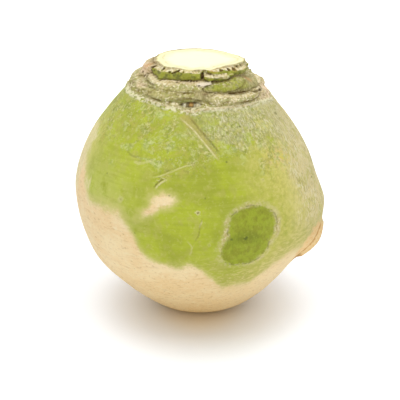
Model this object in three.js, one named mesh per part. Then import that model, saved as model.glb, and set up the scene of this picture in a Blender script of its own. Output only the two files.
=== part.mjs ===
// A rutabaga: one swollen root with a short neck, trimmed flat at the crown where the
// leaves were cut off, and trimmed flat underneath where the taproot was.
// Millimetres, +Z up. The origin is the middle of the small flat spot that it rests on,
// and its front is -Y. It grew as one piece, so it is one closed mesh.
import * as THREE from 'three';

// ---- Driving dimensions ------------------------------------------------------------

const HEIGHT = 128.6;
const RESTING_RADIUS = 13;
const CROWN_RADIUS = 21.5;

// The body's outline: how far the skin stands from the axis on four sides, going up.
const OUTLINE = [
  { height: 0, right: RESTING_RADIUS, back: RESTING_RADIUS, left: RESTING_RADIUS, front: RESTING_RADIUS },
  { height: 3, right: 22.5, back: 22.5, left: 22.5, front: 22.5 },
  { height: 9, right: 31.5, back: 31.5, left: 31.5, front: 31.5 },
  { height: 18, right: 40.5, back: 41.5, left: 42, front: 41.5 },
  { height: 30, right: 49.3, back: 51.5, left: 53, front: 51.5 },
  { height: 43, right: 58.5, back: 58, left: 59, front: 58 },
  { height: 56, right: 61.8, back: 61, left: 62, front: 61 },
  { height: 69, right: 58.8, back: 60, left: 62, front: 60.5 },
  { height: 82, right: 54.5, back: 55.5, left: 58, front: 56 },
  { height: 94, right: 47.5, back: 49, left: 52.5, front: 50 },
  { height: 104, right: 40.2, back: 42.5, left: 45.5, front: 43 },
  { height: 112, right: 34, back: 34.5, left: 38.8, front: 35.5 },
  { height: 119, right: 27.5, back: 28.5, left: 32, front: 29 },
  { height: 124, right: 22.5, back: 23, left: 24.5, front: 23.5 },
  { height: HEIGHT, right: CROWN_RADIUS, back: CROWN_RADIUS, left: CROWN_RADIUS, front: CROWN_RADIUS },
];

// Leaf scars round the neck. Each is the lip left by one cut leaf stalk: a ledge that
// stands proud of the neck, with its top at a height and its middle at an azimuth in
// degrees (0 is +X, -90 the front). It wraps the neck as far as its reach each way.
const LEAF_SCARS = [
  { azimuth: -128, top: 128, reach: 44, proud: 2.2, tall: 5.5 },
  { azimuth: -48, top: 128, reach: 34, proud: 1.8, tall: 4 },
  { azimuth: 18, top: 127.5, reach: 36, proud: 1.6, tall: 6 },
  { azimuth: 76, top: 128, reach: 36, proud: 2.2, tall: 5.5 },
  { azimuth: 134, top: 127.5, reach: 38, proud: 2.4, tall: 6 },
  { azimuth: -176, top: 128.2, reach: 26, proud: 3, tall: 6 },
  { azimuth: -68, top: 126, reach: 24, proud: 2.4, tall: 4.5 },
  { azimuth: -122, top: 123.5, reach: 46, proud: 2.4, tall: 5 },
  { azimuth: -52, top: 123, reach: 46, proud: 2.8, tall: 7 },
  { azimuth: 46, top: 122.5, reach: 46, proud: 2.8, tall: 7 },
  { azimuth: 112, top: 122, reach: 42, proud: 2.6, tall: 7 },
  { azimuth: 168, top: 120, reach: 40, proud: 2.4, tall: 7 },
  { azimuth: -12, top: 119.5, reach: 26, proud: 1.6, tall: 8 },
  { azimuth: -125, top: 118.5, reach: 50, proud: 2.6, tall: 6 },
  { azimuth: -56, top: 117, reach: 36, proud: 2.4, tall: 6 },
  { azimuth: 84, top: 116, reach: 44, proud: 2.4, tall: 7 },
  { azimuth: 28, top: 114.5, reach: 36, proud: 2, tall: 7 },
  { azimuth: -95, top: 113.5, reach: 46, proud: 1.8, tall: 6 },
];

// Round swellings and dents in the body, in millimetres out of the skin.
const SWELLINGS = [
  { azimuth: -16, height: 41, halfWidth: 12, halfHeight: 7.5, proud: 3.4 }, // trimmed side root
  { azimuth: -6, height: 57, halfWidth: 14, halfHeight: 7, proud: 0.6 }, // the swelling above it
  { azimuth: -123, height: 94, halfWidth: 9, halfHeight: 6, proud: -1.2 }, // growth dent
  { azimuth: 148, height: 78, halfWidth: 22, halfHeight: 16, proud: 1 },
  { azimuth: 66, height: 48, halfWidth: 24, halfHeight: 18, proud: -0.8 },
];

const COLUMNS = 72;
const ROWS_PER_STATION = 3;

// ---- The skin ----------------------------------------------------------------------

const { degToRad, smoothstep, euclideanModulo } = THREE.MathUtils;

function sideCurve(side) {
  return new THREE.SplineCurve(OUTLINE.map((station) => new THREE.Vector2(station[side], station.height)));
}

const sideCurves = {
  right: sideCurve('right'),
  back: sideCurve('back'),
  left: sideCurve('left'),
  front: sideCurve('front'),
};

// A smooth ring through the four sides: a mean radius, a shift, and an oval.
function ringRadius(azimuth, right, back, left, front) {
  const mean = (right + back + left + front) / 4;
  const oval = (right + left - back - front) / 4;
  const shift = ((right - left) / 2) * Math.cos(azimuth) + ((back - front) / 2) * Math.sin(azimuth);
  return mean + shift + oval * Math.cos(2 * azimuth);
}

// The signed turn from one azimuth to another, between -pi and pi.
function turn(from, to) {
  return euclideanModulo(to - from + Math.PI, 2 * Math.PI) - Math.PI;
}

// How far one leaf scar stands out: a steep top edge that fades down into the neck.
function scarLip(scar, azimuth, height) {
  const across = turn(degToRad(scar.azimuth), azimuth) / degToRad(scar.reach);
  if (Math.abs(across) >= 1) {
    return 0;
  }
  const down = (scar.top - height) / scar.tall;
  const shelf = smoothstep(down, 0, 0.3) * (1 - smoothstep(down, 0.3, 1));
  return scar.proud * shelf * Math.sqrt(1 - across * across);
}

// A swelling fades away like a bell curve along the skin and up it.
function swell(swelling, azimuth, height, radius) {
  const across = (turn(degToRad(swelling.azimuth), azimuth) * radius) / swelling.halfWidth;
  const up = (height - swelling.height) / swelling.halfHeight;
  return swelling.proud * Math.exp(-across * across - up * up);
}

function skinPoint(azimuth, station) {
  const right = sideCurves.right.getPoint(station);
  const back = sideCurves.back.getPoint(station);
  const left = sideCurves.left.getPoint(station);
  const front = sideCurves.front.getPoint(station);
  const height = right.y;
  const radius = ringRadius(azimuth, right.x, back.x, left.x, front.x);
  const lip = Math.max(...LEAF_SCARS.map((scar) => scarLip(scar, azimuth, height)));
  const swellings = SWELLINGS.reduce((sum, each) => sum + swell(each, azimuth, height, radius), 0);
  const reach = radius + lip + swellings;
  return new THREE.Vector3(reach * Math.cos(azimuth), reach * Math.sin(azimuth), height);
}

// ---- The mesh: rings of skin, closed by the resting spot and by the cut crown --------

function rutabagaGeometry() {
  const rings = (OUTLINE.length - 1) * ROWS_PER_STATION + 1;
  const points = [];
  for (let ring = 0; ring < rings; ring += 1) {
    for (let column = 0; column < COLUMNS; column += 1) {
      points.push(skinPoint((2 * Math.PI * column) / COLUMNS, ring / (rings - 1)));
    }
  }
  const restingCentre = points.length;
  points.push(new THREE.Vector3(0, 0, 0));
  const crownCentre = points.length;
  points.push(new THREE.Vector3(0, 0, HEIGHT));

  const faces = [];
  const topRing = (rings - 1) * COLUMNS;
  for (let column = 0; column < COLUMNS; column += 1) {
    const next = (column + 1) % COLUMNS;
    for (let ring = 0; ring < rings - 1; ring += 1) {
      const low = ring * COLUMNS;
      const high = low + COLUMNS;
      faces.push(low + column, low + next, high + next);
      faces.push(low + column, high + next, high + column);
    }
    faces.push(restingCentre, next, column);
    faces.push(crownCentre, topRing + column, topRing + next);
  }

  const geometry = new THREE.BufferGeometry().setFromPoints(points);
  geometry.setIndex(faces);
  geometry.computeVertexNormals();
  return geometry;
}

const skin = new THREE.MeshStandardMaterial({ color: 0xb9bc5e, roughness: 0.55, metalness: 0 });
const root = new THREE.Mesh(rutabagaGeometry(), skin);
root.name = 'rutabaga';

const model = new THREE.Group();
model.add(root);

export default model;
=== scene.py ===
"""A rutabaga: one swollen root, green on the shoulders and cream below, with a short neck
of leaf scars, a cut crown, and a small flat spot underneath that it stands on.

The whole root is one closed skin. Each section below takes one part of it, from the
round body up to the cut crown, and says how that part is shaped and coloured. Sizes are
in millimetres of the root as drawn; MM turns them into metres, from the frame.
"""
import functools
import math

import bpy
import numpy as np
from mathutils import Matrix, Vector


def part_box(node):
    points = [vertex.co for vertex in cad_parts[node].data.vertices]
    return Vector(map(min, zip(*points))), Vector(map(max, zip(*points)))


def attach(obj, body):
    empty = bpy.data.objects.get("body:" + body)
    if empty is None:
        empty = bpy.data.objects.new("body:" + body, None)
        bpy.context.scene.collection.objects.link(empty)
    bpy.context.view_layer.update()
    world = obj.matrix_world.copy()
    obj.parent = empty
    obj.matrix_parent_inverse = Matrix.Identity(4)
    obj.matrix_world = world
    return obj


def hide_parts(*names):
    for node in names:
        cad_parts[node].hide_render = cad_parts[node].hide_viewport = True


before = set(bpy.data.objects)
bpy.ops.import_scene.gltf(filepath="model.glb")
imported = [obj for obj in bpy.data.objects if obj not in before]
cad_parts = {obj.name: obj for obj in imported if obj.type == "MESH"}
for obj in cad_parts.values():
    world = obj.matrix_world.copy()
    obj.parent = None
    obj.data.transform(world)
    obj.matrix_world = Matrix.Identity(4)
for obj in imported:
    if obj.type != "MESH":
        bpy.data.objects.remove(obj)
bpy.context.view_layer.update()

# ---- The view ------------------------------------------------------------------------
# The root is seen from a little above its shoulders, through a long lens, so that the
# cut crown shows as a narrow ellipse. The lens takes in a fifth of a metre at the root.

low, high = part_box("rutabaga")
HEIGHT = 128.6
MM = (high[2] - low[2]) / HEIGHT

VIEW_RISE = math.radians(20)
VIEW_DISTANCE = 700 * MM
VIEW_WIDTH = 202.5 * MM
AIM_HEIGHT = 55.1 * MM
SENSOR = 36


def set_camera():
    """Stands the camera in front, on a line that rises from the aim at the view's angle."""
    data = bpy.data.cameras.new("view")
    data.sensor_width = SENSOR
    data.lens = SENSOR * VIEW_DISTANCE / VIEW_WIDTH
    camera = bpy.data.objects.new("view", data)
    away = VIEW_DISTANCE * math.cos(VIEW_RISE)
    up = AIM_HEIGHT + VIEW_DISTANCE * math.sin(VIEW_RISE)
    camera.location = (0, -away, up)
    camera.rotation_euler = (math.pi / 2 - VIEW_RISE, 0, 0)
    bpy.context.collection.objects.link(camera)
    bpy.context.scene.camera = camera


set_camera()

# ---- The body ------------------------------------------------------------------------
# The swollen root itself: widest below its middle, a little flatter on the right, with
# its shoulders drawn in to the neck. Its skin is a grid of columns round the axis and
# rows up the outline, closer together on the neck, where the detail is finest.

RESTING_RADIUS = 13
CROWN_RADIUS = 21.5
OUTLINE = np.array([
    # height, then how far the skin stands out on the right, back, left and front
    (0, RESTING_RADIUS, RESTING_RADIUS, RESTING_RADIUS, RESTING_RADIUS),
    (3, 22.5, 22.5, 22.5, 22.5),
    (9, 31.5, 31.5, 31.5, 31.5),
    (18, 40.5, 41.5, 42, 41.5),
    (30, 49.3, 51.5, 53, 51.5),
    (43, 58.5, 58, 59, 58),
    (56, 61.8, 61, 62, 61),
    (69, 58.8, 60, 62, 60.5),
    (82, 54.5, 55.5, 58, 56),
    (94, 47.5, 49, 52.5, 50),
    (104, 40.2, 42.5, 45.5, 43),
    (112, 34, 34.5, 38.8, 35.5),
    (119, 27.5, 28.5, 32, 29),
    (124, 22.5, 23, 24.5, 23.5),
    (HEIGHT, CROWN_RADIUS, CROWN_RADIUS, CROWN_RADIUS, CROWN_RADIUS),
])
COLUMNS = 512
SIDE_ROWS = 172
OUTLINE_STEPS = 4000
NECK_FOOT = 107
NECK_DENSITY = 2.9


def ease(start, end, value):
    """Rises from 0 at start to 1 at end along 3t^2 - 2t^3, and stays level outside."""
    t = np.clip((value - start) / (end - start), 0, 1)
    return t * t * (3 - 2 * t)


def spline(table, where):
    """A Catmull-Rom curve through the rows of a table; where is 0 at the first row and
    rises by 1 a row. Each span is a cubic that leaves a row along the line between its
    two neighbours, and the end rows count as their own outer neighbours."""
    span = np.minimum(where.astype(int), len(table) - 2)
    t = (where - span)[:, None]
    before = table[np.maximum(span - 1, 0)]
    start, end = table[span], table[span + 1]
    after = table[np.minimum(span + 2, len(table) - 1)]
    leave, arrive = (end - before) / 2, (after - start) / 2
    cubic = 2 * (start - end) + leave + arrive
    square = 3 * (end - start) - 2 * leave - arrive
    return start + t * (leave + t * (square + t * cubic))


def side_rows():
    """Picks the rows' places on the outline so that they are evenly spaced along it, and
    closer by NECK_DENSITY above the neck's foot: rows share out the summed length."""
    where = np.linspace(0, len(OUTLINE) - 1, OUTLINE_STEPS + 1)
    curve = spline(OUTLINE, where)
    profile = np.stack([curve[:, 1:].mean(axis=1), curve[:, 0]], axis=1)
    step = np.linalg.norm(np.diff(profile, axis=0), axis=1)
    climb = np.concatenate([[0], np.cumsum(step)])
    density = 1 + (NECK_DENSITY - 1) * ease(NECK_FOOT - 4, NECK_FOOT + 4, curve[:-1, 0])
    share = np.concatenate([[0], np.cumsum(step * density)])
    row_share = np.linspace(0, share[-1], SIDE_ROWS)
    return np.interp(row_share, share, where), np.interp(row_share, share, climb)


def ring(azimuth, right, back, left, front):
    """A smooth ring through four sides: their mean, plus a shift as a cosine and a sine
    of the azimuth, plus an oval as a cosine of twice the azimuth."""
    mean = (right + back + left + front) / 4
    oval = (right + left - back - front) / 4
    shift = (right - left) / 2 * np.cos(azimuth) + (back - front) / 2 * np.sin(azimuth)
    return mean + shift + oval * np.cos(2 * azimuth)


row_places, climb = side_rows()
outline_rows = spline(OUTLINE, row_places)
azimuth = np.linspace(-math.pi, math.pi, COLUMNS, endpoint=False)[None, :]
rise = outline_rows[:, :1] + 0 * azimuth
climb = climb[:, None] + 0 * azimuth
girth = ring(azimuth, *(outline_rows[:, side, None] for side in range(1, 5)))
body = np.stack([girth * np.cos(azimuth), girth * np.sin(azimuth), rise], axis=2)


def lumps(where, size, seed):
    """Smooth random lumps between -1 and 1, about `size` across: random values on a
    repeating lattice, blended between each cell's eight corners by 3t^2 - 2t^3."""
    count = 32
    lattice = np.random.default_rng(seed).uniform(-1, 1, (count, count, count))
    cell = where / np.asarray(size)
    corner = np.floor(cell).astype(int)
    t = cell - corner
    t = t * t * (3 - 2 * t)
    total = 0
    for offset in np.ndindex(2, 2, 2):
        weight = np.prod(np.where(offset, t, 1 - t), axis=-1)
        x, y, z = np.moveaxis((corner + offset) % count, -1, 0)
        total = total + weight * lattice[x, y, z]
    return total


def climb_at(height):
    """How far along the outline a height is."""
    return np.interp(height, rise[:, 0], climb[:, 0])


def turned_from(degrees):
    """The signed turn of each point of the skin from an azimuth, in degrees."""
    return (np.degrees(azimuth) - degrees + 180) % 360 - 180


def from_place(degrees, height):
    """How far each point of the skin is from a place on it, in mm: round the root to
    the right of it, and up along the outline from it."""
    return np.radians(turned_from(degrees)) * girth, climb - climb_at(height)


def bell(across, up, half_width, half_height):
    """A round bell: 1 in the middle, and 1/e one half width or half height away."""
    return np.exp(-(across / half_width) ** 2 - (up / half_height) ** 2)


# Swellings and dents: azimuth in degrees, height, half width, half height, proud.
SWELLINGS = [
    (-6, 57, 14, 7, 0.6),
    (-123, 94, 9, 6, -1.0),
    (148, 78, 22, 16, 1.0),
    (66, 48, 24, 18, -0.8),
]

# Unevenness all over: how proud, how far across, seed.
BODY_LUMPS = [(0.45, 26, 1), (0.16, 9, 2), (0.05, 3, 12)]


def lumpy(table):
    """Lumps of several sizes summed: a table of how proud, how far across, and seed."""
    return sum(height * lumps(body, size, seed) for height, size, seed in table)


proud = lumpy(BODY_LUMPS) * ease(0, 14, rise) * ease(NECK_FOOT + 12, NECK_FOOT - 6, rise)
for side, height, half_width, half_height, out in SWELLINGS:
    proud = proud + out * bell(*from_place(side, height), half_width, half_height)

# ---- The green skin ------------------------------------------------------------------
# The part that grew above the soil: smooth, waxy and yellow-green, mottled where the
# light reached it unevenly. It is the first coat; each later section lays its own over
# it, where a value that the mesh carries says so. Sizes in the material are in mm too.

FRESH_GREEN = (176, 187, 48)
OLIVE_GREEN = (160, 168, 50)
PALE_GREEN = (196, 202, 100)
DULL_GREEN = (178, 177, 82)
PALE_FLECK = (208, 206, 122)
DEEP_MOTTLE = (162, 172, 40)
RING_GREEN = (140, 148, 36)

skin = bpy.data.materials.new("rutabaga_skin")
skin.use_nodes = True
skin_shader = skin.node_tree.nodes["Principled BSDF"]
fields = {}


def srgb(colour):
    """A colour from 0 to 255 as the eye sees it, as linear light from 0 to 1."""
    return tuple(((part / 255 + 0.055) / 1.055) ** 2.4 for part in colour) + (1,)


def add_node(kind, inputs, tree=skin.node_tree, **settings):
    """Adds a node to a material, the skin unless another is named: an input that is a
    socket is linked, any other is set."""
    made = tree.nodes.new(kind)
    for name, value in settings.items():
        setattr(made, name, value)
    for name, value in inputs.items():
        if isinstance(value, bpy.types.NodeSocket):
            tree.links.new(value, made.inputs[name])
        else:
            made.inputs[name].default_value = value
    return made


def maths(operation, first, second=0.0):
    """One step of arithmetic on two values."""
    return add_node("ShaderNodeMath", {0: first, 1: second}, operation=operation).outputs[0]


def times(*factors):
    """The product of values."""
    return functools.reduce(lambda product, factor: maths("MULTIPLY", product, factor), factors)


def plus(*terms):
    """The sum of values."""
    return functools.reduce(lambda total, term: maths("ADD", total, term), terms)


def rising(value, start, end):
    """0 until value reaches start, then up to 1 at end along 3t^2 - 2t^3."""
    made = add_node("ShaderNodeMapRange", {"Value": value, "From Min": start, "From Max": end},
                    interpolation_type="SMOOTHSTEP")
    return made.outputs["Result"]


def blend(share, under, over):
    """A value part of the way from one to another."""
    return add_node("ShaderNodeMix", {0: share, 2: under, 3: over}).outputs[0]


def tint(share, under, over):
    """A colour part of the way from one to another; a plain colour is from 0 to 255."""
    under, over = (srgb(colour) if isinstance(colour, tuple) else colour for colour in (under, over))
    return add_node("ShaderNodeMix", {0: share, 6: under, 7: over}, data_type="RGBA").outputs[2]


def field(name):
    """A value that the mesh carries at each point of the skin."""
    return add_node("ShaderNodeAttribute", {}, attribute_name=name).outputs["Fac"]


def vector_field(name):
    """Three values that the mesh carries at each point of the skin."""
    return add_node("ShaderNodeAttribute", {}, attribute_name=name).outputs["Vector"]


# Two ways to say where a point is, in mm: in space, and as it lies on the skin. The
# second goes round a drum of LIE_RADIUS and up by the length along the outline, so that
# a pattern drawn out in it follows the rings or the meridians of the root.
LIE_RADIUS = 60
lie_points = np.stack([LIE_RADIUS * np.cos(azimuth) + 0 * rise,
                       LIE_RADIUS * np.sin(azimuth) + 0 * rise, climb], axis=2)
fields["lie"] = lie_points
lie = vector_field("lie")
coordinates = add_node("ShaderNodeTexCoord", {}).outputs["Object"]
space = add_node("ShaderNodeMapping", {"Vector": coordinates, "Scale": (1 / MM,) * 3}).outputs[0]


def moved(on, size, stretch, seed):
    """Where a point is in a pattern `size` mm across and drawn out by `stretch`; each seed
    reads a different part of the pattern."""
    scale = tuple(1 / (size * part) for part in stretch)
    start = (seed * 7.3, seed * 3.1, seed * 5.7)
    return add_node("ShaderNodeMapping", {"Vector": on, "Location": start, "Scale": scale}).outputs[0]


def grain(size, seed, stretch=(1, 1, 1), detail=3.0, roughness=0.55, on=space):
    """Random lumps from 0 to 1 with a mean of 0.5."""
    noise = add_node("ShaderNodeTexNoise", {"Vector": moved(on, size, stretch, seed), "Scale": 1.0,
                                            "Detail": detail, "Roughness": roughness})
    return noise.outputs["Fac"]


def mottle(size, seed, start, end, **pattern):
    """The part of a grain that lies past start, and fully past end."""
    return rising(grain(size, seed, **pattern), start, end)


def ragged(value, amount, size, seed, **pattern):
    """A value shaken by a grain, by up to half the amount either way."""
    return plus(value, times(plus(grain(size, seed, **pattern), -0.5), amount))


def specks(size, radius, kept, seed, stretch=(1, 1, 1), on=lie):
    """Round specks, one to a cell of `size` mm, of which a share `kept` shows: 1 in the
    middle of a speck and 0 from its radius out."""
    cells = add_node("ShaderNodeTexVoronoi", {"Vector": moved(on, size, stretch, seed), "Scale": 1.0})
    drawn = add_node("ShaderNodeSeparateColor", {0: cells.outputs["Color"]}).outputs["Red"]
    chosen = rising(drawn, 1 - kept, 1.02 - kept)
    near = rising(cells.outputs["Distance"], radius / size, radius / size * 0.4)
    return times(near, chosen)


look = {"colour": None, "roughness": 0.5, "raised": 0.0}


def coat(share, colour, roughness, raised=0.0):
    """Lays a coat over the skin so far. Where its share is 1 only this coat shows, and
    there it stands `raised` mm proud in the fine relief."""
    look["colour"] = tint(share, look["colour"], colour)
    look["roughness"] = blend(share, look["roughness"], roughness)
    look["raised"] = plus(look["raised"], times(share, raised))


def relief(raised):
    """Adds to the fine relief, in mm."""
    look["raised"] = plus(look["raised"], raised)


def level(share, kept=0.0):
    """Fills in the fine relief so far, down to the part kept where share is 1."""
    look["raised"] = times(look["raised"], blend(share, 1.0, kept))


def bells(table):
    """Bells summed over a table of azimuth, height, half width, half height and strength."""
    return sum(strength * bell(*from_place(side, height), half_width, half_height)
               for side, height, half_width, half_height, strength in table)


# Fresher on the left shoulder, where it had most light, and paler under that.
fields["fresh"] = bells([(-132, 96, 20, 14, 1), (-100, 54, 18, 12, 0.9), (30, 80, 24, 20, 1),
                         (150, 84, 22, 16, 1)])
fields["pale"] = bells([(-142, 76, 22, 16, 1), (-132, 60, 16, 12, 0.7), (-164, 88, 9, 14, 1.1),
                        (100, 74, 22, 14, 0.8), (-30, 84, 10, 22, 0.5)])

clouds = rising(plus(grain(13, 1, detail=4.0), times(field("fresh"), 0.16)), 0.40, 0.66)
look["colour"] = tint(clouds, OLIVE_GREEN, FRESH_GREEN)
look["roughness"] = blend(clouds, 0.5, 0.44)
coat(times(mottle(6, 2, 0.5, 0.64), 0.6), DULL_GREEN, 0.52)
coat(times(mottle(2.6, 85, 0.51, 0.6, detail=5.0, roughness=0.65), 0.3), DEEP_MOTTLE, 0.5)
coat(times(field("pale"), mottle(5, 66, 0.3, 0.5, detail=4.0), 0.6), PALE_GREEN, 0.5)
coat(times(mottle(1.7, 3, 0.54, 0.66, detail=4.0), 0.24), PALE_FLECK, 0.55, 0.03)

# Faint rings of growth, drawn out round the root.
growth_rings = grain(1.4, 4, stretch=(14, 14, 1), detail=4.0, on=lie)
relief(times(growth_rings, 0.1))
coat(times(rising(growth_rings, 0.53, 0.62), 0.16), RING_GREEN, 0.5)
coat(times(rising(growth_rings, 0.46, 0.38), 0.08), PALE_FLECK, 0.5)
relief(times(grain(2.2, 5), 0.14))

# ---- The bloom on the shoulders and the russet side ------------------------------------
# Where the shoulders met the weather the wax is lost and the skin is dull: a veil of tiny
# corky specks, thickest under the neck. Down the right side it has roughened all over
# into tan russet, wrinkled finely along the root.

VEIL = (160, 170, 78)
VEIL_TAN = (186, 180, 96)
CORK_SPECK = (222, 218, 154)
SHADE_SPECK = (126, 130, 60)
WARM_SIDE = (204, 198, 102)
RUSSET = (233, 217, 156)
RUSSET_PALE = (240, 232, 198)
RUSSET_SHADE = (178, 168, 110)
RUSSET_YELLOW = (220, 206, 96)
PINK_STAIN = (230, 204, 146)
SCUFF_PALE = (202, 208, 130)
SCUFF_TAN = (184, 174, 88)
WARM_SPECK = (220, 210, 134)
WARM_SHADE = (172, 168, 78)
GREY_VEIL = (202, 196, 152)
SCAB_GREEN = (170, 186, 104)
SCAB_SPECK = (218, 220, 154)
DULL_PATCH = (160, 162, 76)
DULL_SHADE = (142, 146, 70)
CLEAR_OLIVE = (172, 184, 46)
CLEAR_GREEN = (182, 194, 48)


def along_girth(table):
    """Reads a table of azimuth and value all the way round, with straight lines between
    its rows; the first row comes again at the end, a turn further on."""
    table = np.array(table + [(table[0][0] + 360, table[0][1])], dtype=float)
    turned = (np.degrees(azimuth) - table[0, 0]) % 360 + table[0, 0]
    return np.interp(turned, table[:, 0], table[:, 1])


# How low the bloom reaches at each azimuth, in mm of height.
BLOOM_FOOT = [(-170, 92), (-140, 93), (-122, 88), (-108, 84), (-94, 86), (-84, 92), (-60, 90), (-38, 76),
              (-15, 60), (20, 66), (60, 84), (110, 92), (150, 88)]
bloom_foot = climb_at(along_girth(BLOOM_FOOT))
right_half = ease(-106, -66, turned_from(0)) * ease(110, 60, turned_from(0))
thickness = 0.47 + 0.39 * right_half + 0.2 * ease(104, 110, rise)
above_foot = climb - bloom_foot + lumpy([(7, 14, 21), (4, 5, 22)])
fields["bloom"] = thickness * ease(-8, 14, above_foot)
fields["grey"] = right_half * ease(92, 106, rise)
# The russet side faces this way, with a warm tinge wider round it.
RUSSET_SIDE = -2
off_russet = np.abs(turned_from(RUSSET_SIDE))
russet = ease(46, 24, off_russet + 6 * lumps(body, 12, 23))
fields["russet"] = russet * ease(36, 50, rise) * ease(120, 106, rise)
fields["warm"] = ease(78, 40, off_russet + 8 * lumps(body, 14, 24)) + bell(*from_place(-169, 91), 13, 15)
# Where green shows through the russet, and where the skin is stained yellow and pink.
fields["through"] = (bells([(-38, 100, 13, 13, 0.75), (-20, 108, 10, 6, 0.4), (40, 104, 16, 9, 0.5)])
                     + 0.8 * ease(-0.1, 0.7, lumps(body, 13, 26)) * ease(6, 26, turned_from(0)))
fields["yellow"] = bells([(-42, 89, 8, 7, 1), (60, 84, 14, 8, 0.8)])


def veins(size, seed, thick, stretch):
    """A net of thin lines: 1 along the curves where a smooth noise passes its middle."""
    from_middle = plus(grain(size, seed, stretch, detail=2.0, on=lie), -0.5)
    return rising(maths("ABSOLUTE", from_middle), thick, thick * 0.3)


# The veil, its dark and pale specks, the net of cork over it, and scuffs.
coat(times(field("warm"), mottle(4, 60, 0.2, 0.54, detail=4.0)), WARM_SIDE, 0.6)
bloom = field("bloom")
patches = grain(7, 6, detail=5.0, roughness=0.6)
veil = times(rising(plus(patches, times(bloom, 0.34)), 0.66, 0.78), rising(bloom, 0.0, 0.3))
coat(times(veil, 0.66), tint(mottle(3, 61, 0.47, 0.56, detail=4.0), VEIL, VEIL_TAN), 0.68)
speckle = grain(1.5, 7, stretch=(1.25, 1.25, 1), detail=4.0, roughness=0.6, on=lie)
crisp = blend(field("grey"), 0.45, 0.8)
coat(times(veil, rising(speckle, 0.49, 0.45), crisp), SHADE_SPECK, 0.7, -0.08)
coat(times(field("warm"), rising(speckle, 0.53, 0.6), 0.4), WARM_SPECK, 0.7)
coat(times(field("warm"), rising(speckle, 0.47, 0.41), 0.4), WARM_SHADE, 0.7)
coat(times(veil, rising(speckle, 0.535, 0.585), plus(crisp, 0.15)), CORK_SPECK, 0.84, 0.16)
net = times(veins(2.6, 8, 0.03, (1.3, 1.3, 1)), rising(bloom, 0.1, 0.6))
coat(times(net, mottle(4, 67, 0.46, 0.55), 0.6), CORK_SPECK, 0.84, 0.14)
coat(times(field("grey"), mottle(2.4, 9, 0.44, 0.56, detail=5.0), 0.6), GREY_VEIL, 0.8)
weathered = rising(bloom, 0.02, 0.4)
scuffs = grain(4, 68, detail=6.0, roughness=0.7)
coat(times(weathered, rising(scuffs, 0.44, 0.4), 0.5), SCUFF_TAN, 0.8)
coat(times(weathered, rising(scuffs, 0.55, 0.6), 0.55), SCUFF_PALE, 0.8, 0.1)
pits = mottle(1.6, 76, 0.56, 0.62, detail=4.0, roughness=0.65)
coat(times(weathered, pits, 0.35), SHADE_SPECK, 0.7, -0.05)

# Scabs of thicker cork: azimuth, height, half width, half height and strength.
SCABS = [(-132.9, 95.4, 4.6, 2.0, 1.0), (-120.9, 98.4, 3.4, 3.4, 0.8), (-106.2, 97.4, 3.4, 3.2, 0.7),
         (-118.1, 109.8, 3.2, 2.0, 0.8), (-102.0, 102.4, 4.0, 2.4, 0.8), (-139.9, 87.0, 4.0, 1.5, 0.7),
         (-111.8, 90.6, 3.6, 2.0, 1.0), (-119.5, 91.9, 6.5, 0.8, 1.0), (-137.1, 106.5, 2.6, 2.0, 0.6),
         (-71.7, 96.3, 2.8, 1.5, 0.9), (-59.1, 99.3, 3.4, 2.4, 0.7), (-84.0, 106.0, 4.4, 2.6, 0.6),
         (-66.0, 90.6, 3.6, 1.2, 0.6), (20, 100, 5, 3, 0.8), (64, 96, 5, 3, 0.9), (128, 98, 5, 3, 0.9),
         (168, 94, 4, 3, 0.7)]
fields["scab"] = bells(SCABS)
scab = rising(ragged(field("scab"), 1.6, 2.4, 86, detail=5.0), 0.25, 0.8)
coat(times(scab, 0.5), SCAB_GREEN, 0.75)
coat(times(scab, rising(speckle, 0.49, 0.56), 0.6), SCAB_SPECK, 0.84, 0.14)
coat(times(scab, rising(speckle, 0.45, 0.41), 0.25), SHADE_SPECK, 0.8, -0.1)

# Dull patches under the neck.
fields["dull"] = bells([(-88, 109, 5, 3, 1), (-100, 108, 4, 3, 0.6), (-30, 102, 8, 4, 0.4)])
coat(times(field("dull"), 0.4), DULL_PATCH, 0.7)
coat(times(field("dull"), rising(speckle, 0.52, 0.47), 0.7), DULL_SHADE, 0.8)

# Where the fresh green still shows clear through the bloom.
fields["clear"] = bells([(-58.6, 99.8, 2.2, 5.0, 1), (-44, 97, 5, 3, 0.8), (-72.5, 97.3, 4, 2.2, 0.7),
                         (-83, 104.6, 3, 2, 0.7), (-125.5, 96.4, 2.6, 4, 0.9), (-126, 107.4, 5, 3.4, 0.7),
                         (-152, 102, 8, 6, 0.6), (84, 102, 6, 4, 0.8), (140, 100, 7, 5, 0.8)])

# The russet and its wrinkles, the stain, and the clear green over all of it.
rough_side = field("russet")
wrinkles = grain(1.0, 10, stretch=(1, 1, 2), detail=5.0, roughness=0.65, on=lie)
russet_base = times(rough_side, blend(field("through"), 0.95, 0.2))
coat(russet_base, tint(times(mottle(6, 11, 0.48, 0.6, detail=5.0), 0.6), RUSSET, WARM_SIDE), 0.78)
wrinkled = maths("MAXIMUM", times(rough_side, 0.9), times(field("grey"), 0.7))
wrinkled = times(wrinkled, blend(mottle(7, 91, 0.43, 0.58, detail=5.0, roughness=0.65), 0.3, 1.0))
# The wrinkles' darker hollows and pale crests: the russet's own tones, partly painted shade and highlight.
coat(times(wrinkled, rising(wrinkles, 0.48, 0.43), 0.8), RUSSET_SHADE, 0.85)
coat(times(wrinkled, rising(wrinkles, 0.52, 0.58), 0.85), RUSSET_PALE, 0.85)
coat(times(rough_side, veins(2.8, 69, 0.03, (1, 1, 2.6)), 0.35), RUSSET_PALE, 0.85, 0.1)
relief(times(rough_side, wrinkles, 0.9))
stain = times(field("yellow"), mottle(2.6, 12, 0.44, 0.58, detail=5.0))
coat(times(stain, 0.85), tint(mottle(4, 13, 0.4, 0.6), RUSSET_YELLOW, PINK_STAIN), 0.7)
clear = rising(ragged(field("clear"), 1.8, 2.2, 90, detail=5.0), 0.3, 0.9)
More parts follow.
